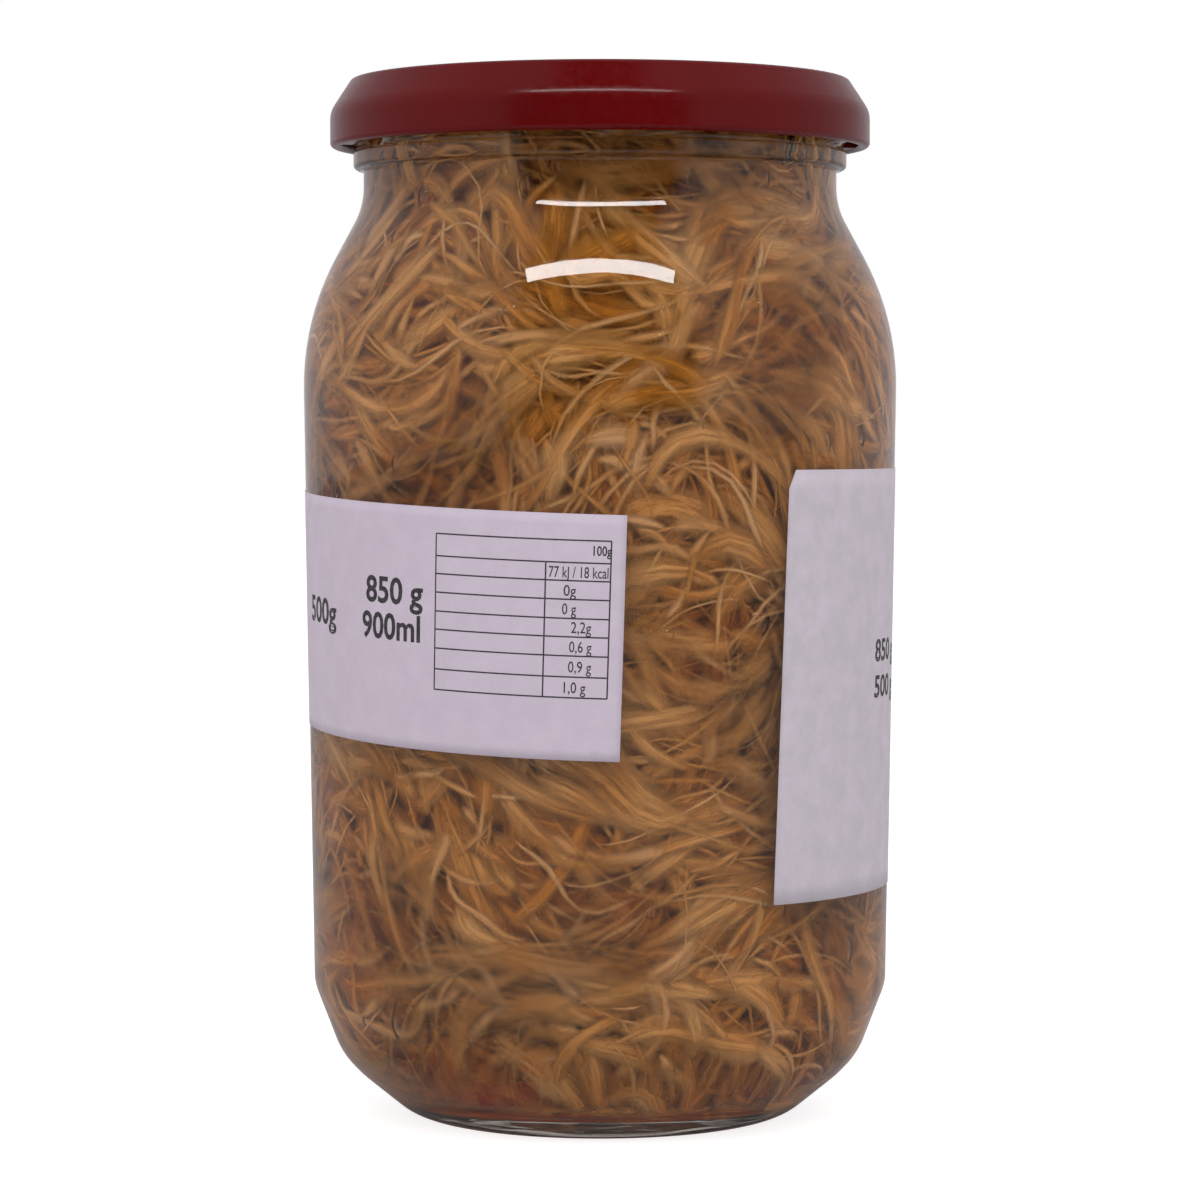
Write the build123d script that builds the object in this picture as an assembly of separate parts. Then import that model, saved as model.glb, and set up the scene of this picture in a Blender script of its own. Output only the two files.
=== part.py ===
"""A closed glass jar of sauerkraut: blown jar, twist-off lid, contents and two paper labels.

Millimetres, +Z up. The origin is on the table, at the middle of the jar's base. -Y is the
front, where the gap between the two labels faces, and angles round the jar are counted from
there, positive towards +X.
"""

from build123d import *
from math import asin, degrees, radians, sin, tan
import os

# ---- glass body
jar_height = 164.8          # table to the top of the glass rim
foot_radius = 45.8          # outside, where the straight side starts above the heel
foot_height = 21.2
shoulder_radius = 47.45     # outside, where the side and the shoulder would meet in a corner
neck_radius = 37.7          # outside, below the bead
neck_length = 5.8           # from the bead down to where neck and shoulder would meet in a corner
shoulder_rise = 18.0        # from the shoulder's corner up to the neck's
wall = 2.1
foot_blend = 8.0            # radii that round the outline's corners
shoulder_blend = 43.0
neck_blend = 12.0

# ---- heel: each corner as (inset from the foot radius, height, blend radius)
heel_corners = [(15.8, 0.0, 9.0), (7.2, 7.0, 18.0), (4.2, 10.2, 12.0)]

# ---- underside and inner floor
ring_inner_radius = 23.5    # the ring that the jar stands on runs from here outwards
ring_inner_blend = 4.0
push_up_radius = 15.0       # the flat middle of the hollow underside
push_up_height = 3.4
push_up_blend = 20.0
floor_radius = 33.0         # inside, where the floor and the wall of the heel meet
floor_height = 5.2
floor_rise = 2.0            # the inner floor is this much higher in the middle
inner_heel_inset = 1.6      # the glass is this much thicker at the inner heel than at the wall
inner_heel_height = 17.0
inner_heel_blend = 15.0
inner_floor_blend = 10.0

# ---- neck finish: bead, thread and rim
finish_step = 1.2           # the wall that the thread stands on lies this far outside the neck
bead_step = 0.4             # the bead stands out this much further
bead_height = 2.6
bead_blend = 0.7
rim_blend = 1.1
thread_count = 6
thread_depth = 1.9          # from the wall to the ridges' crests
thread_ridge = 1.15         # radius of a ridge's round section
thread_span = 56.0          # degrees that a ridge's middle line runs round the neck
thread_rise = 4.0           # height that a ridge gains over its span
thread_over_edge = 2.62     # from the lid's lower edge up to the middle of a ridge
bead_gap = 0.35             # from the lowest end of a ridge down to the bead

# ---- lid
sheet = 0.28                # tinplate thickness
lid_height = 10.8           # outside
skirt_height = 5.6          # the upright part of the lid's side, from its lower edge
thread_clearance = 0.3      # between the thread's crests and the lid's rolled edge
curl = 1.9                  # width and height of the rolled edge
curl_blend = 0.75
top_edge_inset = 3.4        # from the widest radius in to where top and side would meet
top_edge_blend = 1.0
skirt_blend = 4.0
bore_clearance = 0.35       # between the neck's bore and the sunk panel's side
panel_depth = 1.2
panel_blend = 0.6
button_radius = 13.0
button_slope = 3.0
button_depth = 0.7          # the safety button is drawn down below the panel
button_blend = 2.0
lug_span = 12.0             # degrees
lug_height = 1.2
lug_drop = 0.3              # from the top of the rolled edge down to the lugs
lug_clearance = 0.25        # to the finish wall, and to the ridge above
lug_roots = 0.5             # how far a lug's outer end lies inside the rolled edge

# ---- contents
headspace = 6.8             # from the glass rim down to the level of the brine

# ---- labels
paper = 0.12
left_label = dict(start=-104.0, end=4.3, low=61.6, high=98.5, lean=-1.7, tilt=-2.65)
right_label = dict(start=36.2, end=166.0, low=37.4, high=103.4, lean=-1.9, tilt=0.0)
corner_snip_width = 1.2     # the right label's upper near corner is cut off
corner_snip_height = 1.1

# ---- sizes worked out from those above
bore_radius = neck_radius - wall
finish_radius = neck_radius + finish_step
bead_radius = finish_radius + bead_step
thread_radius = finish_radius + thread_depth
lid_radius = thread_radius + thread_clearance + curl
top_edge_radius = lid_radius - top_edge_inset
lid_top = jar_height + sheet
lid_bottom = lid_top - lid_height
thread_height = lid_bottom + thread_over_edge
bead_top = thread_height - thread_rise / 2 - thread_ridge - bead_gap
bead_bottom = bead_top - bead_height
neck_height = bead_bottom - neck_length
shoulder_height = neck_height - shoulder_rise
fill_height = jar_height - headspace


def body_radius(height):
    """Outside radius of the jar's straight side at a height."""
    share = (height - foot_height) / (shoulder_height - foot_height)
    return foot_radius + share * (shoulder_radius - foot_radius)


def turned(outline):
    """Solid of revolution of a closed outline of wires in the XZ plane."""
    return revolve(make_face(outline), axis=Axis.Z)


def rounded(points, radii):
    """Open outline through (radius, height) points, each inner corner rounded."""
    return FilletPolyline(*[(r, 0, z) for r, z in points], radius=radii)


def outer_outline(top):
    """The jar's outer face from the middle of the underside up to the finish wall's top."""
    heel = [(foot_radius - inset, height) for inset, height, blend in heel_corners]
    points = [(0, push_up_height), (push_up_radius, push_up_height), (ring_inner_radius, 0),
              *heel, (foot_radius, foot_height), (shoulder_radius, shoulder_height),
              (neck_radius, neck_height), (neck_radius, bead_bottom), (bead_radius, bead_bottom),
              (bead_radius, bead_top), (finish_radius, bead_top), (finish_radius, top)]
    radii = [push_up_blend, ring_inner_blend, *[blend for inset, height, blend in heel_corners],
             foot_blend, shoulder_blend, neck_blend, bead_blend, bead_blend,
             bead_step / 2, bead_step / 2]
    return rounded(points, radii)


def inner_outline(top):
    """The jar's inner face from the middle of its floor up the bore."""
    points = [(0, floor_height + floor_rise), (push_up_radius, floor_height + floor_rise),
              (floor_radius, floor_height),
              (foot_radius - wall - inner_heel_inset, inner_heel_height),
              (foot_radius - wall, foot_height + inner_heel_height),
              (shoulder_radius - wall, shoulder_height), (bore_radius, neck_height),
              (bore_radius, top)]
    radii = [push_up_blend, inner_floor_blend, inner_heel_blend, shoulder_blend,
             shoulder_blend - wall, neck_blend + wall]
    return rounded(points, radii)


def sheet_outline(points, radii):
    """Closed outline of sheet metal whose outer face follows the points, the metal lying on
    the right-hand side of the way they run."""
    ways = [Vector(b[0] - a[0], b[1] - a[1]).normalized() for a, b in zip(points, points[1:])]
    sides = [Vector(way.Y, -way.X) * sheet for way in ways]
    inner, inner_radii = [Vector(*points[0]) + sides[0]], []
    for corner, before, after, radius in zip(points[1:-1], ways, ways[1:], radii):
        normal = Vector(before.Y, -before.X) + Vector(after.Y, -after.X)
        inner.append(Vector(*corner) + normal * (2 * sheet / normal.length ** 2))
        turns_right = before.X * after.Y - before.Y * after.X < 0
        inner_radii.append(radius - sheet if turns_right else radius + sheet)
    inner.append(Vector(*points[-1]) + sides[-1])
    outer_face = rounded(points, radii)
    inner_face = rounded([(p.X, p.Y) for p in inner], inner_radii)
    ends = [Line(outer_face @ 1, inner_face @ 1), Line(outer_face @ 0, inner_face @ 0)]
    return Curve() + [outer_face, inner_face, *ends]


def thread_ridges():
    """Sloping ridges, each a tilted arc of round bar half sunk in the finish wall."""
    arc_radius = thread_radius - thread_ridge
    slope = degrees(asin(thread_rise / 2 / (arc_radius * sin(radians(thread_span / 2)))))
    section = Plane(origin=(arc_radius, 0, 0), x_dir=(1, 0, 0), z_dir=(0, 1, 0))
    bar = revolve(section * Circle(thread_ridge), axis=Axis.Z, revolution_arc=thread_span)
    bar = bar.rotate(Axis.Z, -thread_span / 2).rotate(Axis.X, slope)
    bar = Pos(0, 0, thread_height) * bar
    return [bar.rotate(Axis.Z, turn) for turn in thread_turns()]


def thread_turns():
    return [360 / thread_count * number for number in range(thread_count)]


def lug_turn(lug_top):
    """Angle in degrees from a ridge's middle to where a lug's near end clears the ridge above
    it, once the lid has been turned tight."""
    climb = lug_top + lug_clearance + thread_ridge - thread_height
    return thread_span * climb / thread_rise


def glass_jar():
    outer = outer_outline(jar_height)
    inner = inner_outline(jar_height)
    rim = Line(outer @ 1, inner @ 1)
    axis_side = Line(inner @ 0, outer @ 0)
    jar = turned(Curve() + [outer, inner, rim, axis_side])
    top_edges = jar.edges().filter_by(GeomType.CIRCLE).group_by(Axis.Z)[-1]
    jar = fillet(top_edges, rim_blend)
    return jar + thread_ridges()


def sauerkraut():
    """Shreds and brine as one body that fills the jar up to the level of the brine."""
    inner = inner_outline(fill_height)
    level_and_axis = Polyline(inner @ 1, (0, 0, fill_height), inner @ 0)
    return turned(Curve() + [inner, level_and_axis])


def lid():
    """Pressed lid: sunk panel with a button, flat ring over the glass rim, sloping then
    upright side, edge rolled inwards, and lugs that hold under the thread."""
    panel = lid_top - panel_depth
    button = panel - button_depth
    panel_radius = bore_radius - bore_clearance
    skirt_top = lid_bottom + skirt_height
    curl_inner = lid_radius - curl
    curl_top = lid_bottom + curl
    points = [(0, button), (button_radius - button_slope, button), (button_radius, panel),
              (panel_radius - panel_depth, panel), (panel_radius, lid_top),
              (top_edge_radius, lid_top), (lid_radius, skirt_top), (lid_radius, lid_bottom),
              (curl_inner, lid_bottom), (curl_inner, curl_top),
              (lid_radius - 2 * sheet, curl_top)]
    radii = [button_blend, button_blend, panel_blend, panel_blend, top_edge_blend,
             skirt_blend, curl_blend, curl_blend, curl_blend]
    outline = sheet_outline(points, radii)
    return turned(outline) + lid_lugs(curl_inner, curl_top)


def lid_lugs(curl_inner, curl_top):
    lug_inner = finish_radius + lug_clearance
    lug_top = curl_top - lug_drop
    width = curl_inner + lug_roots - lug_inner
    section = Plane(origin=(lug_inner + width / 2, 0, lug_top - lug_height / 2),
                    x_dir=(1, 0, 0), z_dir=(0, -1, 0))
    lug = revolve(section * RectangleRounded(width, lug_height, lug_height / 3),
                  axis=Axis.Z, revolution_arc=lug_span)
    return [lug.rotate(Axis.Z, turn + lug_turn(lug_top)) for turn in thread_turns()]


def label(start, end, low, high, lean, tilt):
    """Paper that lies on the straight side from one angle to the other. Its upper and lower
    edges rise by the tilt and its upright edges lean over by the lean, both in degrees and
    positive anticlockwise, seen from outside."""
    reach = 10
    band = [(low - reach, 0), (high + reach, 0), (high + reach, paper), (low - reach, paper)]
    corners = [Vector(body_radius(height) + out, 0, height) for height, out in band]
    piece = revolve(make_face(Polyline(*corners, close=True)), axis=Axis.Z)
    middle = (start + end) / 2
    centre_height = (low + high) / 2
    across = Vector(0, -1, 0).rotate(Axis.Z, middle)
    for height, up in ((low, 1), (high, -1)):
        normal = Vector(0, 0, up).rotate(Axis((0, 0, 0), across), tilt)
        piece = keep_side(piece, Vector(0, 0, height), normal)
    for angle, way in ((start, 1), (end, -1)):
        outwards = Vector(0, -1, 0).rotate(Axis.Z, angle)
        normal = outwards.cross(Vector(0, 0, -way)).rotate(Axis((0, 0, 0), outwards), lean)
        piece = keep_side(piece, Vector(0, 0, centre_height), normal)
    return piece


def keep_side(piece, point, normal):
    """The part of a piece that lies on the side that the normal points to."""
    return split(piece, bisect_by=Plane(origin=point, z_dir=normal), keep=Keep.TOP)


def snipped(piece, start, low, high, lean, **rest):
    """The label without its upper near corner."""
    corner_shift = degrees(tan(radians(lean)) * (high - low) / 2 / body_radius(high))
    corner_angle = start - corner_shift
    outwards = Vector(0, -1, 0).rotate(Axis.Z, corner_angle)
    along = Vector(0, 0, 1).cross(outwards)
    corner = outwards * body_radius(high) + Vector(0, 0, high)
    cut_point = corner - Vector(0, 0, corner_snip_height)
    normal = (along * corner_snip_height - Vector(0, 0, corner_snip_width)).normalized()
    return keep_side(piece, cut_point, normal)


os.makedirs("parts", exist_ok=True)
nodes = {
    "glass_jar": glass_jar(),
    "lid": lid(),
    "sauerkraut": sauerkraut(),
    "label_left": label(**left_label),
    "label_right": snipped(label(**right_label), **right_label),
}
for name, solid in nodes.items():
    export_step(solid, f"parts/{name}.step")
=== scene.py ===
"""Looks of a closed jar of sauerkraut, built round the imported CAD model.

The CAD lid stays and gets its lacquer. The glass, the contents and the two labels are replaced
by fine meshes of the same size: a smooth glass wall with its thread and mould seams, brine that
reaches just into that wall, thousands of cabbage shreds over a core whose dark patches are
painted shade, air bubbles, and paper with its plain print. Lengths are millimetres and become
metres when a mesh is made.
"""

import math

import bpy
import numpy as np
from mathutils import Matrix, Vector


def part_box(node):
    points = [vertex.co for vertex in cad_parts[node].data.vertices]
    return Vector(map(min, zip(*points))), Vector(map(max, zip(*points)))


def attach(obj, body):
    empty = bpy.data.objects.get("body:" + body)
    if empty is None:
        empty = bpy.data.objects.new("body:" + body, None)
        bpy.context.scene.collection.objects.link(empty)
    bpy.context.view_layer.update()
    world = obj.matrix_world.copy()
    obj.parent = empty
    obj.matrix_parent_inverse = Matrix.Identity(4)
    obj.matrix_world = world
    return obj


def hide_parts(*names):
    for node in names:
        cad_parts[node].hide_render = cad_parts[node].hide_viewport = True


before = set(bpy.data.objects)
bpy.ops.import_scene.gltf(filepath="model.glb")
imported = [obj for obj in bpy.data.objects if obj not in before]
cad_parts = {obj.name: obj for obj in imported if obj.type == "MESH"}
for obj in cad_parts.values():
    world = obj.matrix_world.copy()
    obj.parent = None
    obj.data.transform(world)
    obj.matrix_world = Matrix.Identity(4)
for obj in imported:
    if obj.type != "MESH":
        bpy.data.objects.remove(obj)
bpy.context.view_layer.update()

MM = 0.001
BODY = "root"


def top_of(node):
    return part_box(node)[1].z / MM


# ---- sizes of the glass, as the CAD part has them
rim_height = top_of("glass_jar")
fill_height = top_of("sauerkraut")
foot_radius, foot_height = 45.8, 21.2
shoulder_radius, shoulder_height = 47.45, 127.0
neck_radius, neck_height = 37.7, 145.0
wall = 2.1
bore_radius = neck_radius - wall
bead_radius, bead_bottom, bead_top = 39.3, 150.8, 153.4
finish_radius = 38.9
rim_blend = 1.1
ridge_count, ridge_span, ridge_rise, ridge_half = 6, 56.0, 4.0, 1.35
ridge_height = rim_height - 7.9
ridge_out = 40.8 - finish_radius
ridge_run_out, ridge_fade = 3.0, 7.0    # degrees past a ridge's end, and over which it tapers
shoulder_arc, neck_arc = 43, 12
seam_angles, seam_rise, seam_width, seam_radius = (-26.0, 154.0), 0.05, 0.35, 46

# ---- the contents
wet_from, wet_margin = 4.5, 0.3    # the glass that touches the brine: lowest height, and slack
brine_overlap = 0.35
core_depth = 5.5
shred_points = 11
shred_floor, floor_blend, floor_inset = 7.6, 4, 3
shred_ring = 43                    # mean radius on which shreds are laid out
bubble_count = 150

# ---- how finely the turned pieces are divided
glass_columns, brine_columns, core_columns, floor_columns = 192, 128, 120, 96

# ---- the labels and their print
paper = 0.12
hair = 0.012                       # keeps the paper off the glass and the ink off the paper
line_width = 0.22
font_digit_height = 0.73    # of the built-in font, for a text size of one

# ---- the camera, on the -Y side, and the levels of light
camera_distance = 0.660
camera_height = 0.10927
camera_pitch = math.radians(2.35)
camera_lens = 123.55
side_light, side_gloss = 1.1, 0.55
gap_light, gap_gloss = 0.68, 0.03
gap_from, gap_full = 0.74, 0.83    # how far towards the camera's side the gap begins
floor_glow, floor_bounce = 0.78, 0.45
floor_drop = 0.05
aim_height = 0.085


def body_radius(height):
    share = (height - foot_height) / (shoulder_height - foot_height)
    return foot_radius + share * (shoulder_radius - foot_radius)


# ---------------------------------------------------------------- outlines and lathed meshes

def rounded(points, radii, steps=10):
    """(radius, height) points with each inner corner replaced by an arc."""
    result = [np.array(points[0], float)]
    for before, corner, after, radius in zip(points, points[1:], points[2:], radii):
        before, corner, after = (np.array(p, float) for p in (before, corner, after))
        back = (before - corner) / np.linalg.norm(before - corner)
        on = (after - corner) / np.linalg.norm(after - corner)
        half = math.acos(np.clip(back @ on, -1, 1)) / 2
        reach = radius / math.tan(half)
        centre = corner + (back + on) / np.linalg.norm(back + on) * radius / math.sin(half)
        first, last = corner + back * reach - centre, corner + on * reach - centre
        start = math.atan2(first[1], first[0])
        turn = (math.atan2(last[1], last[0]) - start + math.pi) % (2 * math.pi) - math.pi
        for step in range(steps + 1):
            angle = start + turn * step / steps
            result.append(centre + radius * np.array([math.cos(angle), math.sin(angle)]))
    result.append(np.array(points[-1], float))
    return np.array(result)


def divided(outline, step, fine_from=1e9, fine_step=0.3):
    """The outline with its long runs divided, finer above one height."""
    result = [outline[0]]
    for start, end in zip(outline, outline[1:]):
        length = np.linalg.norm(end - start)
        limit = fine_step if min(start[1], end[1]) > fine_from else step
        pieces = max(1, math.ceil(length / limit))
        result += [start + (end - start) * n / pieces for n in range(1, pieces + 1)]
    return np.array(result)


def pushed(outline, distance):
    """The outline moved to its right-hand side: outwards for one that runs up the wall."""
    along = np.gradient(outline, axis=0)
    along /= np.maximum(np.linalg.norm(along, axis=1, keepdims=True), 1e-9)
    return outline + np.stack([along[:, 1], -along[:, 0]], 1) * distance


def outer_outline():
    points = [(0, 3.4), (15, 3.4), (23.5, 0), (foot_radius - 15.8, 0), (foot_radius - 7.2, 7.0),
              (foot_radius - 4.2, 10.2), (foot_radius, foot_height),
              (shoulder_radius, shoulder_height), (neck_radius, neck_height),
              (neck_radius, bead_bottom), (bead_radius, bead_bottom), (bead_radius, bead_top),
              (finish_radius, bead_top), (finish_radius, rim_height), (bore_radius, rim_height),
              (bore_radius, rim_height - 4)]
    radii = [20, 4, 9, 18, 12, 8, shoulder_arc, neck_arc, 0.7, 0.7, 0.2, 0.2, rim_blend, rim_blend]
    return rounded(points, radii)


def inner_outline():
    points = [(0, 7.2), (15, 7.2), (33, 5.2), (foot_radius - wall - 1.6, 17),
              (foot_radius - wall, foot_height + 17), (shoulder_radius - wall, shoulder_height),
              (bore_radius, neck_height), (bore_radius, rim_height - 4)]
    return rounded(points, [20, 10, 15, 43, shoulder_arc - wall, neck_arc + wall])


def inner_profile():
    """Heights and radii of the inner wall, for a look-up."""
    outline = divided(inner_outline(), 0.8)
    rising = outline[outline[:, 0] > 33]
    return rising[np.argsort(rising[:, 1])]


profile = inner_profile()


def inner_radius(height):
    return np.interp(height, profile[:, 1], profile[:, 0])


def new_object(name, vertices, faces):
    """A smooth-shaded mesh from points in millimetres."""
    mesh = bpy.data.meshes.new(name)
    faces = np.asarray(faces, np.int32)
    mesh.vertices.add(len(vertices))
    mesh.vertices.foreach_set("co", (np.asarray(vertices, float) * MM).astype(np.float32).ravel())
    mesh.loops.add(faces.size)
    mesh.loops.foreach_set("vertex_index", faces.ravel())
    mesh.polygons.add(len(faces))
    size = faces.shape[1]
    mesh.polygons.foreach_set("loop_start", np.arange(0, faces.size, size, dtype=np.int32))
    mesh.update(calc_edges=True)
    mesh.validate()
    mesh.polygons.foreach_set("use_smooth", [True] * len(mesh.polygons))
    piece = bpy.data.objects.new(name, mesh)
    bpy.context.scene.collection.objects.link(piece)
    return piece


def grid_faces(rows, columns, wrap):
    """Quads between the vertices of a grid that is stored row by row."""
    row, column = np.meshgrid(np.arange(rows - 1), np.arange(columns - (not wrap)), indexing="ij")
    after = (column + 1) % columns
    corners = [row * columns + column, row * columns + after,
               (row + 1) * columns + after, (row + 1) * columns + column]
    return np.stack([c.ravel() for c in corners], 1)


def lathed(name, outline, columns, change=None):
    """Closed mesh turned from an outline that starts and ends on the axis."""
    inner = outline[1:-1]
    angles = np.arange(columns) * 2 * math.pi / columns
    radius = np.repeat(inner[:, 0][:, None], columns, 1)
    height = np.repeat(inner[:, 1][:, None], columns, 1)
    angle = np.repeat(angles[None], len(inner), 0)
    if change:
        radius, height = change(radius, height, angle)
    ring = np.stack([radius * np.cos(angle), radius * np.sin(angle), height], 2).reshape(-1, 3)
    quads = grid_faces(len(inner), columns, True)
    pole = len(ring)
    ends = np.array([[0, 0, outline[0][1]], [0, 0, outline[-1][1]]])
    vertices = np.concatenate([ring, ends])
    last_row = (len(inner) - 1) * columns
    column = np.arange(columns)
    following = (column + 1) % columns
    bottom = np.stack([np.full(columns, pole), following, column], 1)
    top = np.stack([np.full(columns, pole + 1), last_row + column,
                    last_row + following], 1)
    triangles = np.concatenate([bottom, top])
    split = np.concatenate([quads[:, [0, 1, 2]], quads[:, [0, 2, 3]], triangles])
    return new_object(name, vertices, split)


# ---------------------------------------------------------------- materials

class Nodes:
    """The node tree of a new material or world, with short calls for what goes into it."""

    def __init__(self, name, owners=bpy.data.materials, output="ShaderNodeOutputMaterial"):
        self.owner = owners.new(name)
        self.owner.use_nodes = True
        self.tree = self.owner.node_tree
        self.tree.nodes.clear()
        self.output = self.add(output)

    def add(self, kind, **settings):
        node = self.tree.nodes.new(kind)
        for key, value in settings.items():
            setattr(node, key, value)
        return node

    def link(self, source, target):
        self.tree.links.new(source, target)

    def position(self):
        return self.add("ShaderNodeNewGeometry").outputs["Position"]

    def noise(self, scale, detail=4.0, roughness=0.5, vector=None, stretch=None):
        node = self.add("ShaderNodeTexNoise")
        node.inputs["Scale"].default_value = scale
        node.inputs["Detail"].default_value = detail
        node.inputs["Roughness"].default_value = roughness
        source = vector or self.position()
        if stretch:
            mapping = self.add("ShaderNodeMapping")
            mapping.inputs["Scale"].default_value = stretch
            self.link(source, mapping.inputs["Vector"])
            source = mapping.outputs["Vector"]
        self.link(source, node.inputs["Vector"])
        return node.outputs["Fac"]

    def ramp(self, source, stops):
        node = self.add("ShaderNodeValToRGB")
        elements = node.color_ramp.elements
        while len(elements) < len(stops):
            elements.new(0.5)
        for element, (place, colour) in zip(elements, stops):
            element.position = place
            element.color = (*colour, 1.0)
        self.link(source, node.inputs["Fac"])
        return node.outputs["Color"]

    def spread(self, source, low, high, out_low=0.0, out_high=1.0):
        node = self.add("ShaderNodeMapRange")
        for key, value in zip(("From Min", "From Max", "To Min", "To Max"),
                              (low, high, out_low, out_high)):
            node.inputs[key].default_value = value
        self.link(source, node.inputs["Value"])
        return node.outputs["Result"]

    def mixed(self, factor, first, second):
        node = self.add("ShaderNodeMix", data_type="RGBA")
        for source, socket in ((factor, node.inputs[0]), (first, node.inputs[6]),
                               (second, node.inputs[7])):
            if isinstance(source, (int, float)):
                socket.default_value = source
            elif isinstance(source, tuple):
                socket.default_value = (*source, 1.0)
            else:
                self.link(source, socket)
        return node.outputs[2]

    def maths(self, operation, *values):
        node = self.add("ShaderNodeMath", operation=operation)
        for value, socket in zip(values, node.inputs):
            if isinstance(value, (int, float)):
                socket.default_value = value
            else:
                self.link(value, socket)
        return node.outputs[0]

    def bump(self, height, distance, strength=1.0):
        node = self.add("ShaderNodeBump")
        node.inputs["Strength"].default_value = strength
        node.inputs["Distance"].default_value = distance
        self.link(height, node.inputs["Height"])
        return node.outputs["Normal"]

    def principled(self, **values):
        node = self.add("ShaderNodeBsdfPrincipled")
        for key, value in values.items():
            socket = node.inputs[key.replace("_", " ")]
            if hasattr(value, "is_output"):
                self.link(value, socket)
            elif isinstance(value, tuple) and len(value) == 3 and len(socket.default_value) == 4:
                socket.default_value = (*value, 1.0)
            else:
                socket.default_value = value
        return node

    def surface(self, shader):
        self.link(shader, self.output.inputs["Surface"])
        return self.owner

    def clear_to_lamps(self, shader, tint):
        """The shader, but see-through for the rays that look for lamps and for soft light."""
        rays = self.add("ShaderNodeLightPath")
        clear = self.add("ShaderNodeBsdfTransparent")
        clear.inputs["Color"].default_value = (*tint, 1.0)
        for kind in ("Is Shadow Ray", "Is Diffuse Ray"):
            mix = self.add("ShaderNodeMixShader")
            self.link(rays.outputs[kind], mix.inputs[0])
            self.link(shader, mix.inputs[1])
            self.link(clear.outputs[0], mix.inputs[2])
            shader = mix.outputs[0]
        return self.surface(shader)


def glass_material(name, mirror):
    """Clear glass with a faint waviness; mirror is how much of its reflection shows."""
    n = Nodes(name)
    peel = n.noise(55, 2.0)
    flow_lines = n.noise(14, 1.0, stretch=(1.0, 1.0, 0.35))
    height = n.mixed(0.35, flow_lines, peel)
    shader = n.principled(Base_Color=(0.985, 0.99, 0.985), Roughness=0.0, IOR=1.5,
                          Transmission_Weight=1.0, Specular_Tint=(mirror, mirror, mirror),
                          Normal=n.bump(height, 0.0012, 0.35))
    return n.clear_to_lamps(shader.outputs[0], (0.97, 0.975, 0.97))


def brine_material():
    n = Nodes("brine")
    shader = n.principled(Base_Color=(1.0, 1.0, 1.0), Roughness=0.0, IOR=1.335,
                          Transmission_Weight=1.0, Specular_Tint=(0.0, 0.0, 0.0))
    absorb = n.add("ShaderNodeVolumeAbsorption")
    absorb.inputs["Color"].default_value = (0.94, 0.62, 0.05, 1.0)
    absorb.inputs["Density"].default_value = 150.0
    n.link(absorb.outputs[0], n.output.inputs["Volume"])
    return n.clear_to_lamps(shader.outputs[0], (1.0, 1.0, 1.0))


def bubble_material():
    n = Nodes("bubble")
    film = n.noise(900, 1.0)
    shader = n.principled(Base_Color=(1.0, 1.0, 1.0), Roughness=0.0, IOR=0.75,
                          Transmission_Weight=1.0, Normal=n.bump(film, 0.00005, 0.2))
    return n.clear_to_lamps(shader.outputs[0], (1.0, 1.0, 1.0))


def shred_material(name, pale, deep, cover, streaks):
    """Cabbage: each shred has its own tone, with paler and darker stretches and fine strands
    along it, and gets clearer between its strands and towards its edges and ends. The
    attribute shred holds edge, tone, end and patch; strand has millimetres across and along."""
    n = Nodes(name)
    shred = n.add("ShaderNodeAttribute", attribute_name="shred")
    split = n.add("ShaderNodeSeparateColor")
    n.link(shred.outputs["Color"], split.inputs[0])
    edge, tone, end = split.outputs
    strand = n.add("ShaderNodeAttribute", attribute_name="strand")
    fibres = n.noise(1.0, 3.0, 0.55, vector=strand.outputs["Vector"], stretch=streaks)
    patches = shred.outputs["Alpha"]
    tint = n.maths("MULTIPLY_ADD", patches, 0.9, n.maths("MULTIPLY_ADD", tone, 0.55,
                                                         n.maths("MULTIPLY", fibres, 0.8)))
    colour = n.ramp(n.spread(tint, 0.75, 1.45), [(0.0, deep), (1.0, pale)])
    body = n.maths("MULTIPLY", n.spread(edge, 0.2, 1.0, 1.0, 0.0), end)
    between = n.spread(fibres, 0.30, 0.60, cover * 0.25, cover)
    alpha = n.maths("MULTIPLY", body, between)
    radial = n.add("ShaderNodeVectorMath", operation="MULTIPLY")
    n.link(n.position(), radial.inputs[0])
    radial.inputs[1].default_value = (1.0, 1.0, 0.0)
    facing = n.add("ShaderNodeVectorMath", operation="NORMALIZE")
    n.link(radial.outputs[0], facing.inputs[0])
    own = n.add("ShaderNodeNewGeometry").outputs["Normal"]
    soft = n.add("ShaderNodeMix", data_type="VECTOR")
    soft.inputs[0].default_value = 0.75
    n.link(own, soft.inputs[4])
    n.link(facing.outputs[0], soft.inputs[5])
    shader = n.principled(Base_Color=colour, Roughness=0.6, Specular_IOR_Level=0.05,
                          Alpha=alpha, Normal=soft.outputs[1])
    return n.surface(shader.outputs[0])


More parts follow.
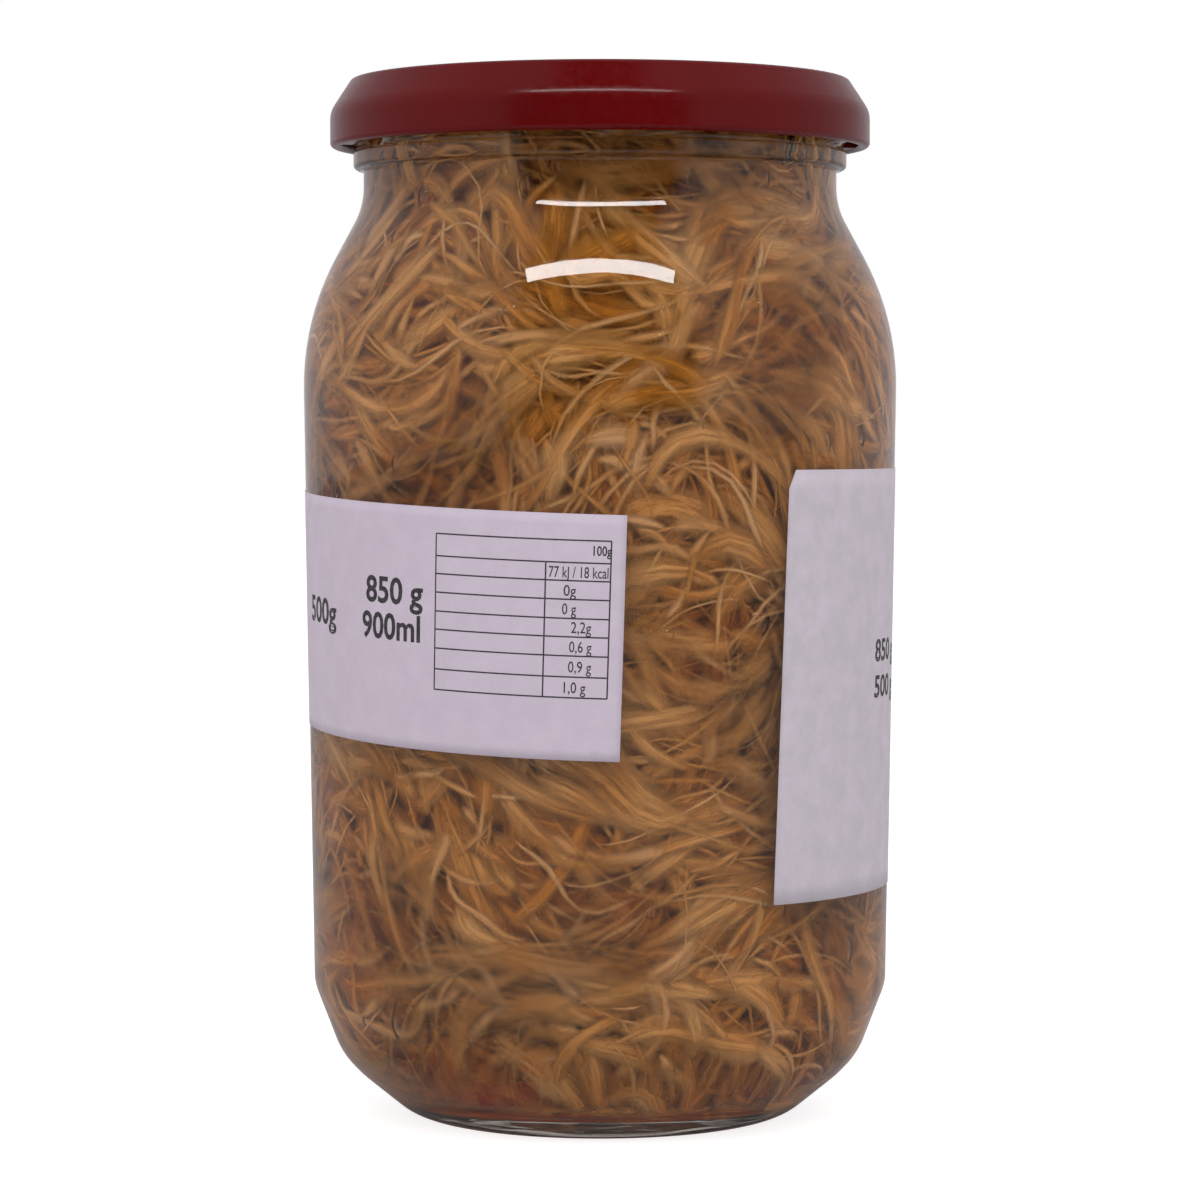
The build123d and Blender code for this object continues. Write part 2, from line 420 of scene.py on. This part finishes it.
def core_material():
    """The mass of cabbage behind the shreds that show: cloudy, with painted shade in its amber
    gaps.
    """
    n = Nodes("core")
    warp = n.add("ShaderNodeTexNoise")
    warp.inputs["Scale"].default_value = 70.0
    n.link(n.position(), warp.inputs["Vector"])
    shift = n.add("ShaderNodeVectorMath", operation="MULTIPLY_ADD")
    n.link(warp.outputs["Color"], shift.inputs[0])
    shift.inputs[1].default_value = (0.018, 0.018, 0.018)
    n.link(n.position(), shift.inputs[2])
    strands = n.noise(230, 4.0, 0.6, vector=shift.outputs[0], stretch=(1.0, 1.0, 1.7))
    clouds = n.noise(75, 3.0)
    both = n.maths("MULTIPLY_ADD", clouds, 0.8, n.maths("MULTIPLY", strands, 0.6))
    # The darkest stop is painted shade for the gaps between shreds deep in the jar; the paler
    # stops are the cabbage's own tone.
    colour = n.ramp(n.spread(both, 0.5, 0.9),
                    [(0.0, (0.11, 0.025, 0.002)), (0.4, (0.32, 0.12, 0.015)),
                     (1.0, (0.46, 0.22, 0.05))])
    shader = n.principled(Base_Color=colour, Roughness=0.7, Specular_IOR_Level=0.05,
                          Normal=n.bump(strands, 0.001, 0.5))
    return n.surface(shader.outputs[0])


def lacquer_material():
    n = Nodes("lacquered_tinplate")
    cloud = n.noise(45, 4.0)
    specks = n.noise(900, 2.0, 0.6)
    colour = n.ramp(n.spread(cloud, 0.3, 0.7), [(0.0, (0.078, 0.0008, 0.0012)),
                                               (1.0, (0.092, 0.0012, 0.0018))])
    rough = n.spread(specks, 0.35, 0.75, 0.16, 0.26)
    shader = n.principled(Base_Color=colour, Roughness=rough, Specular_IOR_Level=0.2,
                          Normal=n.bump(cloud, 0.0006, 0.2))
    return n.surface(shader.outputs[0])


def paper_material(name, pale, grey):
    n = Nodes(name)
    fibres = n.noise(2400, 5.0, 0.7)
    mottle = n.noise(260, 5.0, 0.6)
    cockle = n.noise(60, 2.0)
    colour = n.ramp(n.spread(mottle, 0.36, 0.66), [(0.0, grey), (1.0, pale)])
    colour = n.mixed(n.spread(fibres, 0.5, 0.8, 0.0, 0.25), colour,
                     tuple(c * 0.86 for c in grey))
    relief = n.mixed(0.5, fibres, cockle)
    shader = n.principled(Base_Color=colour, Roughness=0.72, Specular_IOR_Level=0.3,
                          Sheen_Weight=0.05, Normal=n.bump(relief, 0.0003, 0.5))
    return n.surface(shader.outputs[0])


def ink_material():
    n = Nodes("ink")
    wear = n.noise(1800, 4.0, 0.6)
    colour = n.ramp(n.spread(wear, 0.35, 0.8), [(0.0, (0.012, 0.011, 0.013)),
                                               (1.0, (0.06, 0.055, 0.06))])
    shader = n.principled(Base_Color=colour, Roughness=0.55)
    return n.surface(shader.outputs[0])


# ---------------------------------------------------------------- pieces

def finished(piece, material, slot, *nodes):
    piece.data.materials.clear()
    piece.data.materials.append(material)
    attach(piece, BODY)
    if nodes:
        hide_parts(*nodes)
    return piece


def smooth_step(value):
    value = np.clip(value, 0, 1)
    return value * value * (3 - 2 * value)


def thread_and_seams(radius, height, angle):
    """Raises the sloping thread ridges and the faint mould seams out of the glass."""
    outside = radius > finish_radius - 0.6
    on_finish = outside & (height > bead_top - 0.8) & (height < rim_height - rim_blend)
    lift = np.zeros_like(radius)
    for number in range(ridge_count):
        turn = (np.degrees(angle) - 360 / ridge_count * number + 180) % 360 - 180
        middle = ridge_height + ridge_rise * turn / ridge_span
        across = np.clip(1 - ((height - middle) / ridge_half) ** 2, 0, 1)
        ends = smooth_step((ridge_span / 2 + ridge_run_out - np.abs(turn)) / ridge_fade)
        lift = np.maximum(lift, ridge_out * np.sqrt(across) * ends)
    radius = radius + np.where(on_finish, lift, 0)
    side = (height > foot_height) & (height < bead_bottom)
    for seam in seam_angles:
        turn = (np.degrees(angle) + 90 - seam + 180) % 360 - 180
        raised = seam_rise * np.exp(-(turn * math.pi / 180 * seam_radius / seam_width) ** 2)
        radius = radius + np.where(side & (radius > neck_radius - 0.4), raised, 0)
    return radius, height


def make_glass():
    """The jar, with a second, barely reflecting material where its inside is wet."""
    outer = divided(outer_outline(), 2.0, bead_bottom - 1, 0.35)
    inner = divided(inner_outline(), 2.5)[::-1]
    outline = np.concatenate([outer, inner[1:]])
    glass = lathed("jar_glass", outline, glass_columns, thread_and_seams)
    finished(glass, glass_material("glass", 1.0), "glass", "glass_jar")
    glass.data.materials.append(glass_material("glass_against_brine", 0.1))
    polygons = glass.data.polygons
    spots = np.empty(len(polygons) * 3, np.float32)
    polygons.foreach_get("center", spots)
    spots = spots.reshape(-1, 3) / MM
    within = np.hypot(spots[:, 0], spots[:, 1]) < inner_radius(spots[:, 2]) + wet_margin
    wet = within & (spots[:, 2] > wet_from) & (spots[:, 2] < fill_height)
    polygons.foreach_set("material_index", wet.astype(np.int32))


def contents_outline(inset):
    """The inner wall's outline moved in by the inset, closed by a level top."""
    outline = pushed(divided(inner_outline(), 2.5), -inset)
    outline[:, 0] = np.maximum(outline[:, 0], 0)
    outline[0, 0] = 0
    top = fill_height - max(0, inset)
    outline = outline[outline[:, 1] < top]
    edge = outline[-1, 0]
    level = [(edge * share, top) for share in (1, 0.75, 0.5, 0.25, 0)]
    return np.concatenate([outline, level])


def make_brine():
    return finished(lathed("brine", contents_outline(-brine_overlap), brine_columns),
                    brine_material(), "sauerkraut", "sauerkraut")


def make_core():
    waves = np.random.default_rng(7).uniform(-1, 1, (14, 4))

    def knotted(radius, height, angle):
        lift = sum(a * np.sin((4 + 9 * abs(b)) * angle + 0.35 * c * height + 6 * d)
                   for a, b, c, d in waves)
        return radius * (1 + 0.014 * lift * np.clip(radius / 20, 0, 1)), height

    return finished(lathed("shred_core", contents_outline(core_depth), core_columns, knotted),
                    core_material(), "sauerkraut")


def flow(angle, height):
    """The heading in which shreds mostly lie at a place on the wall, in radians from level."""
    return (0.5 * np.sin(2 * angle + height / 19) + 0.6 * np.sin(3 * angle - height / 13 + 2.1)
            + 0.4 * np.sin(5 * angle + height / 8.5 + 4.0))


def shred_path(rng, count, length, depth, stray):
    """Centre points and outward ways of curved shreds that follow the jar's wall."""
    angle, height = rng.uniform(0, 2 * math.pi, count), rng.uniform(7, fill_height, count)
    step = rng.uniform(*length, count) / (shred_points - 1)
    own, bend = rng.normal(0, stray, count), rng.normal(0, 0.6, count)
    sway, phase = rng.normal(0, 0.2, count), rng.uniform(0, 2 * math.pi, count)
    sunk = rng.uniform(*depth, count)
    dip, way_back = rng.normal(0, 0.7, count), rng.choice([-1, 1], count)
    angles, heights, insets = [], [], []
    for share in np.linspace(-0.5, 0.5, shred_points):
        angles.append(angle)
        heights.append(height)
        insets.append(np.maximum(sunk + dip * np.sin(2 * math.pi * share + phase), 0.45))
        heading = flow(angle, height) + own + bend * share + sway * np.sin(9 * share + phase)
        angle = angle + way_back * np.cos(heading) * step / shred_ring
        height = np.clip(height + way_back * np.sin(heading) * step, shred_floor,
                         fill_height - 0.8)
    angle, height = np.stack(angles, 1), np.stack(heights, 1)
    radius = inner_radius(height) - np.stack(insets, 1)
    floor_share = np.clip((height - shred_floor) / floor_blend, 0, 1)
    radius = radius - (1 - floor_share) * floor_inset
    centre = np.stack([radius * np.cos(angle), radius * np.sin(angle), height], 2)
    outward = np.stack([np.cos(angle), np.sin(angle), np.zeros_like(angle)], 2)
    return centre, outward


def unit(vectors):
    return vectors / np.maximum(np.linalg.norm(vectors, axis=2, keepdims=True), 1e-9)


def cloudy(points, size, seed):
    """Smooth values from about 0 to 1 that change over a size in millimetres."""
    rng = np.random.default_rng(seed)
    count = 9
    ways = rng.normal(0, 1.6 / size, (count, 3))
    waves = np.sin(points @ ways.T + rng.uniform(0, 2 * math.pi, count))
    return np.clip(0.5 + waves.sum(-1) / count * 0.75, 0, 1)


def store(piece, name, kind, field, channels):
    """Keeps a value for each vertex for the material to read."""
    values = np.stack(channels, -1).astype(np.float32)
    piece.data.attributes.new(name, kind, "POINT").data.foreach_set(field, values.ravel())


def make_shreds(name, seed, count, material, length, width, thickness, depth, stray, roll):
    """Ribbons with a flat lozenge section, with what their material reads about each point."""
    rng = np.random.default_rng(seed)
    centre, outward = shred_path(rng, count, length, depth, stray)
    along = np.linspace(-0.5, 0.5, shred_points)[None]
    ribbon = width[0] + (width[1] - width[0]) * rng.random((count, 1)) ** 1.6
    thick = rng.uniform(*thickness, (count, 1))
    turn = rng.normal(0, roll, (count, 1)) + rng.normal(0, roll, (count, 1)) * along * 2
    tangent = unit(np.gradient(centre, axis=1))
    outward = unit(outward - (outward * tangent).sum(2, keepdims=True) * tangent)
    side = np.cross(tangent, outward)
    flat = outward * np.cos(turn)[..., None] + side * np.sin(turn)[..., None]
    wide = np.cross(tangent, flat)
    taper = np.clip(1.05 - np.abs(along * 2) ** 4, 0.05, 1)
    uneven = 1 + 0.22 * np.sin(11 * along + rng.uniform(0, 6, (count, 1)))
    half_width = ribbon / 2 * taper * uneven
    half_wide = wide * half_width[..., None]
    half_thick = flat * (thick / 2 * taper)[..., None]
    ring = np.stack([centre + half_wide, centre + half_thick, centre - half_wide,
                     centre - half_thick], 2)
    row, corner = np.meshgrid(np.arange(shred_points - 1), np.arange(4), indexing="ij")
    row, corner = row.ravel(), corner.ravel()
    after = (corner + 1) % 4
    quads = np.stack([row * 4 + corner, row * 4 + after, (row + 1) * 4 + after,
                      (row + 1) * 4 + corner], 1)
    last = (shred_points - 1) * 4
    ends = np.array([[3, 2, 1, 0], [last, last + 1, last + 2, last + 3]])
    strip = np.concatenate([quads, ends])
    faces = (strip[None] + (np.arange(count) * shred_points * 4)[:, None, None]).reshape(-1, 4)
    piece = new_object(name, ring.reshape(-1, 3), faces)
    shape = (count, shred_points, 4)
    sides = np.array([1.0, 0, -1, 0])
    end = np.clip((0.5 - np.abs(along)) / 0.12, 0, 1)[..., None]
    clearing = np.clip(0.3 + (cloudy(centre, 15, 5) - 0.38) / 0.17 * 0.7, 0.3, 1)
    end = end * clearing[..., None]
    patch = cloudy(centre, 7, seed)[..., None]
    tone = rng.random((count, 1, 1))
    store(piece, "shred", "FLOAT_COLOR", "color",
          [np.broadcast_to(v, shape) for v in (np.abs(sides), tone, end, patch)])
    travelled = (along * rng.uniform(*length, (count, 1)))[..., None]
    store(piece, "strand", "FLOAT_VECTOR", "vector",
          [np.broadcast_to(v, shape) for v in (sides * half_width[..., None],
                                               travelled, tone * 90)])
    return finished(piece, material, "sauerkraut")


def make_contents():
    make_brine()
    make_core()
    kinds = [
        ("shreds_wispy", 21, 1700, (0.52, 0.28, 0.11), (0.36, 0.14, 0.02), 0.85, (1.1, 0.1, 1.0),
         (14, 40), (3.0, 8.5), (0.25, 0.4), (0.4, 4.0), 0.55, 0.12),
        ("shreds_leafy", 11, 900, (0.55, 0.31, 0.15), (0.40, 0.18, 0.035), 0.7, (0.8, 0.12, 1.0),
         (8, 26), (1.5, 5.0), (0.35, 0.6), (0.4, 2.2), 0.7, 0.12),
        ("shreds_fine", 12, 1900, (0.56, 0.33, 0.16), (0.42, 0.19, 0.04), 0.6, (0.9, 0.1, 1.0),
         (12, 42), (0.6, 1.7), (0.3, 0.5), (0.4, 3.4), 0.5, 0.3),
        ("shreds_mid", 13, 1500, (0.46, 0.23, 0.06), (0.32, 0.12, 0.015), 0.8, (0.9, 0.1, 1.0),
         (16, 48), (1.4, 4.2), (0.5, 0.9), (2.2, 5.5), 0.55, 0.35),
    ]
    for name, seed, count, pale, deep, cover, streaks, *sizes in kinds:
        material = shred_material(name, pale, deep, cover, streaks)
        make_shreds(name, seed, count, material, *sizes)


def make_bubbles():
    """Small air bubbles, most of them flattened against the glass."""
    rng = np.random.default_rng(31)
    rows, columns = 9, 14
    tilt = np.linspace(0, math.pi, rows)[1:-1]
    turn = np.arange(columns) * 2 * math.pi / columns
    ball = np.array([(math.sin(t) * math.cos(a), math.sin(t) * math.sin(a), math.cos(t))
                     for t in tilt for a in turn] + [(0, 0, 1), (0, 0, -1)])
    quads = grid_faces(rows - 2, columns, True)
    split = np.concatenate([quads[:, [0, 1, 2]], quads[:, [0, 2, 3]]])
    column = np.arange(columns)
    following = (column + 1) % columns
    first, last, end = (rows - 2) * columns, (rows - 2) * columns + 1, (rows - 3) * columns
    caps = [np.stack([np.full(columns, first), column, following], 1),
            np.stack([np.full(columns, last), end + following, end + column], 1)]
    shape = np.concatenate([split, *caps])[:, ::-1]
    vertices, faces = [], []
    for number in range(bubble_count):
        size = rng.uniform(0.35, 1.5) if rng.random() < 0.85 else rng.uniform(1.5, 2.6)
        tall = rng.uniform(0.9, 1.7)
        angle = rng.uniform(0, 2 * math.pi)
        height = fill_height - 4 - 140 * rng.random() ** 1.5
        flatness = rng.uniform(0.45, 0.9)
        radius = inner_radius(height) - size * flatness - 0.08
        out = np.array([math.cos(angle), math.sin(angle), 0])
        side = np.array([-math.sin(angle), math.cos(angle), 0])
        up = np.array([0, 0, 1.0])
        points = (ball[:, [0]] * size * flatness * out + ball[:, [1]] * size * side
                  + ball[:, [2]] * size * tall * up)
        vertices.append(points + out * radius + up * height)
        faces.append(shape + number * len(ball))
    piece = new_object("air_bubbles", np.concatenate(vertices), np.concatenate(faces))
    return finished(piece, bubble_material(), "sauerkraut")


# ---- labels: places on a label are (angle in degrees from the front, height)

class Label:
    """A paper sheet on the jar's straight side, with its lines and figures printed on it."""

    def __init__(self, start, end, low, high, lean, tilt):
        self.start, self.end, self.low, self.high = start, end, low, high
        self.lean, self.tilt = math.radians(lean), math.radians(tilt)
        self.middle = (start + end) / 2
        self.centre = (low + high) / 2

    def place(self, angle, height, out):
        """The point above an angle and height of the untilted label."""
        radius = body_radius(height)
        reach = radius * math.radians(1)
        tilted = height + np.tan(self.tilt) * radius * np.sin(np.radians(angle - self.middle))
        leaning = angle - np.tan(self.lean) * (height - self.centre) / reach
        turn = np.radians(leaning)
        radius = body_radius(tilted) + out
        return np.stack([radius * np.sin(turn), -radius * np.cos(turn), tilted], -1)

    def sheet(self, name, snip=None):
        columns = int((self.end - self.start) / 1.5)
        rows = 24
        angle, height = np.meshgrid(np.linspace(self.start, self.end, columns),
                                    np.linspace(self.low, self.high, rows))
        if snip:
            wide, tall = snip
            inside = (angle - self.start) / wide + (self.high - height) / tall
            shift = np.clip(1 - inside, 0, 1)
            angle = angle + shift * wide * (angle - self.start < wide)
        front = self.place(angle, height, paper).reshape(-1, 3)
        back = self.place(angle, height, hair).reshape(-1, 3)
        faces = grid_faces(rows, columns, False)
        count = rows * columns
        edge = list(range(columns)) + [r * columns + columns - 1 for r in range(1, rows)]
        edge += [count - 1 - c for c in range(1, columns)]
        edge += [r * columns for r in range(rows - 2, 0, -1)]
        edge = np.array(edge)
        on = np.roll(edge, -1)
        sides = np.stack([edge, edge + count, on + count, on], 1)
        faces = np.concatenate([faces, faces[:, ::-1] + count, sides])
        return new_object(name, np.concatenate([front, back]), faces)

    def flat_mesh(self, name, points, faces):
        """A printed shape, given by label places, lying on the paper."""
        points = np.array(points, float)
        return new_object(name, self.place(points[:, 0], points[:, 1], paper + hair), faces)


def line_points(start, end, pieces=24):
    """Corners of a thin printed line between two label places, as a strip of quads."""
    (a0, h0), (a1, h1) = start, end
    degree = body_radius(h0) * math.radians(1)
    along = np.array([(a1 - a0) * degree, h1 - h0])
    along /= np.linalg.norm(along)
    across = np.array([-along[1] / degree, along[0]]) * line_width / 2
    points = []
    for number in range(pieces + 1):
        share = number / pieces
        spot = np.array([a0 + (a1 - a0) * share, h0 + (h1 - h0) * share])
        points += [spot - across, spot + across]
    faces = [[2 * n, 2 * n + 2, 2 * n + 3, 2 * n + 1] for n in range(pieces)]
    return points, np.array(faces)


def printed_text(text, start, end, base, digit_height, weight=0.0):
    """Filled figures as label places, fitted between two angles and to a digit's height."""
    curve = bpy.data.curves.new("figures", "FONT")
    curve.body = text
    curve.size = 1.0
    curve.offset = weight
    curve.resolution_u = 3
    holder = bpy.data.objects.new("figures", curve)
    bpy.context.scene.collection.objects.link(holder)
    bpy.context.view_layer.update()
    mesh = bpy.data.meshes.new_from_object(holder)
    places = np.array([v.co[:2] for v in mesh.vertices])
    left, right = places[:, 0].min(), places[:, 0].max()
    angle = start + (places[:, 0] - left) / (right - left) * (end - start)
    height = base + places[:, 1] / font_digit_height * digit_height
    mesh.calc_loop_triangles()
    faces = np.array([t.vertices[:] for t in mesh.loop_triangles])
    bpy.data.objects.remove(holder)
    bpy.data.curves.remove(curve)
    bpy.data.meshes.remove(mesh)
    return list(zip(angle, height)), faces


def joined_print(name, label, shapes):
    """One mesh of many printed shapes, lines and figures alike."""
    points, faces = [], []
    for shape_points, shape_faces in shapes:
        if shape_faces.shape[1] == 4:
            shape_faces = np.concatenate([shape_faces[:, [0, 1, 2]], shape_faces[:, [0, 2, 3]]])
        faces.append(shape_faces + len(points))
        points += list(shape_points)
    piece = label.flat_mesh(name, points, np.concatenate(faces))
    return finished(piece, ink_material(), "label_paper")


def make_labels():
    left = Label(-104.0, 4.3, 61.6, 98.5, -1.7, -2.65)
    right = Label(36.2, 166.0, 37.4, 103.4, -1.9, 0.0)
    finished(left.sheet("label_left_sheet"),
             paper_material("label_paper_left", (0.50, 0.44, 0.51), (0.47, 0.41, 0.48)),
             "label_paper", "label_left")
    finished(right.sheet("label_right_sheet", snip=(1.5, 1.1)),
             paper_material("label_paper_right", (0.50, 0.45, 0.51), (0.44, 0.41, 0.44)),
             "label_paper", "label_right")
    table_left, column, table_right = -32.1, -10.3, 1.6
    rows = [94.55, 91.2, 88.5, 85.7, 82.85, 80.1, 77.25, 74.1, 71.0]
    shapes = [line_points((table_left, row), (table_right, row)) for row in rows]
    shapes += [line_points((angle, rows[-1]), (angle, rows[0]), 8)
               for angle in (table_left, table_right)]
    shapes.append(line_points((column, rows[-1]), (column, rows[1]), 8))
    values = [("77 kJ / 18 kcal", -9.7, 1.2, 88.95), ("0g", -6.9, -4.6, 86.2),
              ("0 g", -7.1, -4.5, 83.45), ("2,2g", -5.35, -1.65, 80.7),
              ("0,6 g", -5.6, -1.5, 77.8), ("0,9 g", -5.7, -1.45, 74.8),
              ("1,0 g", -6.4, -2.4, 71.7)]
    shapes += [printed_text(*value, 1.74, 0.004) for value in values]
    shapes.append(printed_text("100g", -1.65, 1.7, 92.35, 1.5, 0.016))
    for text, start, end, base in (("850 g", -49.85, -34.95, 83.4), ("900ml", -51.0, -35.5, 77.9),
                                   ("500g", -75.4, -60.6, 78.75)):
        shapes.append(printed_text(text, start, end, base, 4.1, 0.022))
    joined_print("label_left_print", left, shapes)
    joined_print("label_right_print", right, [
        printed_text("850 g", 66.5, 82.6, 73.4, 3.5, 0.022),
        printed_text("500 g", 66.6, 82.9, 67.75, 3.5, 0.022)])


def dress_lid():
    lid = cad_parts["lid"]
    lid.data.materials.clear()
    lid.data.materials.append(lacquer_material())


# ---------------------------------------------------------------- stage, lights and camera

def stage_material():
    """Floor that reads as white to the camera but keeps the shadow, and gives soft light back
    as a white floor would. Gloss and glass see it grey, so it lays no veil over the contents."""
    n = Nodes("studio_floor")
    colour = n.ramp(n.noise(30, 3.0), [(0.0, (0.34, 0.34, 0.34)), (1.0, (0.37, 0.37, 0.37))])
    diffuse = n.add("ShaderNodeBsdfDiffuse")
    n.link(colour, diffuse.inputs["Color"])
    glow = n.add("ShaderNodeEmission")
    rays = n.add("ShaderNodeLightPath")
    n.link(n.maths("ADD", n.maths("MULTIPLY", rays.outputs["Is Camera Ray"], floor_glow),
                   n.maths("MULTIPLY", rays.outputs["Is Diffuse Ray"], floor_bounce)),
           glow.inputs["Strength"])
    n.owner.cycles.emission_sampling = "NONE"
    both = n.add("ShaderNodeAddShader")
    n.link(diffuse.outputs[0], both.inputs[0])
    n.link(glow.outputs[0], both.inputs[1])
    return n.surface(both.outputs[0])


def make_floor():
    angles = np.arange(floor_columns) * 2 * math.pi / floor_columns
    rings = [0, 200, 600, 1500, 4000]
    vertices = [(r * math.cos(a), r * math.sin(a), -floor_drop)
                for r in rings[1:] for a in angles]
    quads = grid_faces(len(rings) - 1, floor_columns, True)
    vertices.append((0, 0, -floor_drop))
    centre = len(vertices) - 1
    column = np.arange(floor_columns)
    cap = np.stack([np.full(floor_columns, centre), column, (column + 1) % floor_columns], 1)
    split = np.concatenate([quads[:, [0, 2, 1]], quads[:, [0, 3, 2]], cap])
    floor = new_object("studio_floor", vertices, split)
    floor.data.materials.append(stage_material())


def area_lamp(name, azimuth, elevation, distance, width, height, power):
    """A soft box that faces the jar's middle. Azimuth 0 is the camera's side."""
    lamp = bpy.data.lights.new(name, "AREA")
    lamp.shape = "RECTANGLE"
    lamp.size, lamp.size_y = width, height
    lamp.energy = power
    holder = bpy.data.objects.new(name, lamp)
    turn, rise = math.radians(azimuth), math.radians(elevation)
    aim = Vector((0, 0, aim_height))
    away = Vector((math.sin(turn) * math.cos(rise), -math.cos(turn) * math.cos(rise),
                   math.sin(rise)))
    holder.location = aim + away * distance
    holder.rotation_euler = (-away).to_track_quat("-Z", "Y").to_euler()
    bpy.context.scene.collection.objects.link(holder)


def make_lights():
    """Light walls to both sides and behind, a gap on the camera's side that only gloss and
    glass see as dark, and one flat soft box high in front. The camera sees white all round."""
    area_lamp("front_bar", 0, 50, 0.8, 0.72, 0.085, 3.0)
    n = Nodes("studio", bpy.data.worlds, "ShaderNodeOutputWorld")
    bpy.context.scene.world = n.owner
    way = n.add("ShaderNodeTexCoord").outputs["Generated"]
    split = n.add("ShaderNodeSeparateXYZ")
    n.link(way, split.inputs[0])
    x, y = split.outputs[:2]
    level_length = n.maths("POWER", n.maths("ADD", n.maths("MULTIPLY", x, x),
                                            n.maths("MULTIPLY", y, y)), 0.5)
    frontal = n.maths("DIVIDE", n.maths("MULTIPLY", y, -1.0),
                      n.maths("MAXIMUM", level_length, 0.01))
    gap = n.spread(frontal, gap_from, gap_full)
    path = n.add("ShaderNodeLightPath")
    glossy = n.maths("MAXIMUM", path.outputs["Is Glossy Ray"],
                     path.outputs["Is Transmission Ray"])
    side = n.spread(glossy, 0.0, 1.0, side_light, side_gloss)
    front = n.spread(glossy, 0.0, 1.0, gap_light, gap_gloss)
    walls = n.maths("ADD", side, n.maths("MULTIPLY", gap, n.maths("SUBTRACT", front, side)))
    seen = path.outputs["Is Camera Ray"]
    strength = n.maths("ADD", walls,
                       n.maths("MULTIPLY", seen, n.maths("SUBTRACT", 1.0, walls)))
    back = n.add("ShaderNodeBackground")
    n.link(n.mixed(seen, (1.0, 0.96, 1.0), (1.0, 1.0, 1.0)), back.inputs["Color"])
    n.link(strength, back.inputs["Strength"])
    n.surface(back.outputs[0])


def make_camera():
    data = bpy.data.cameras.new("camera")
    data.lens = camera_lens
    data.sensor_width = 36
    data.clip_start = 0.01
    camera = bpy.data.objects.new("camera", data)
    camera.location = (0, -camera_distance, camera_height)
    camera.rotation_euler = (math.pi / 2 - camera_pitch, 0, 0)
    bpy.context.scene.collection.objects.link(camera)
    bpy.context.scene.camera = camera


def set_render():
    scene = bpy.context.scene
    scene.view_settings.view_transform = "Standard"
    scene.cycles.caustics_refractive = False
    scene.cycles.caustics_reflective = False
    scene.cycles.max_bounces = 8
    scene.cycles.diffuse_bounces = 2
    scene.cycles.transmission_bounces = 8
    scene.cycles.transparent_max_bounces = 16


make_glass()
make_contents()
make_bubbles()
make_labels()
dress_lid()
make_floor()
make_lights()
make_camera()
set_render()
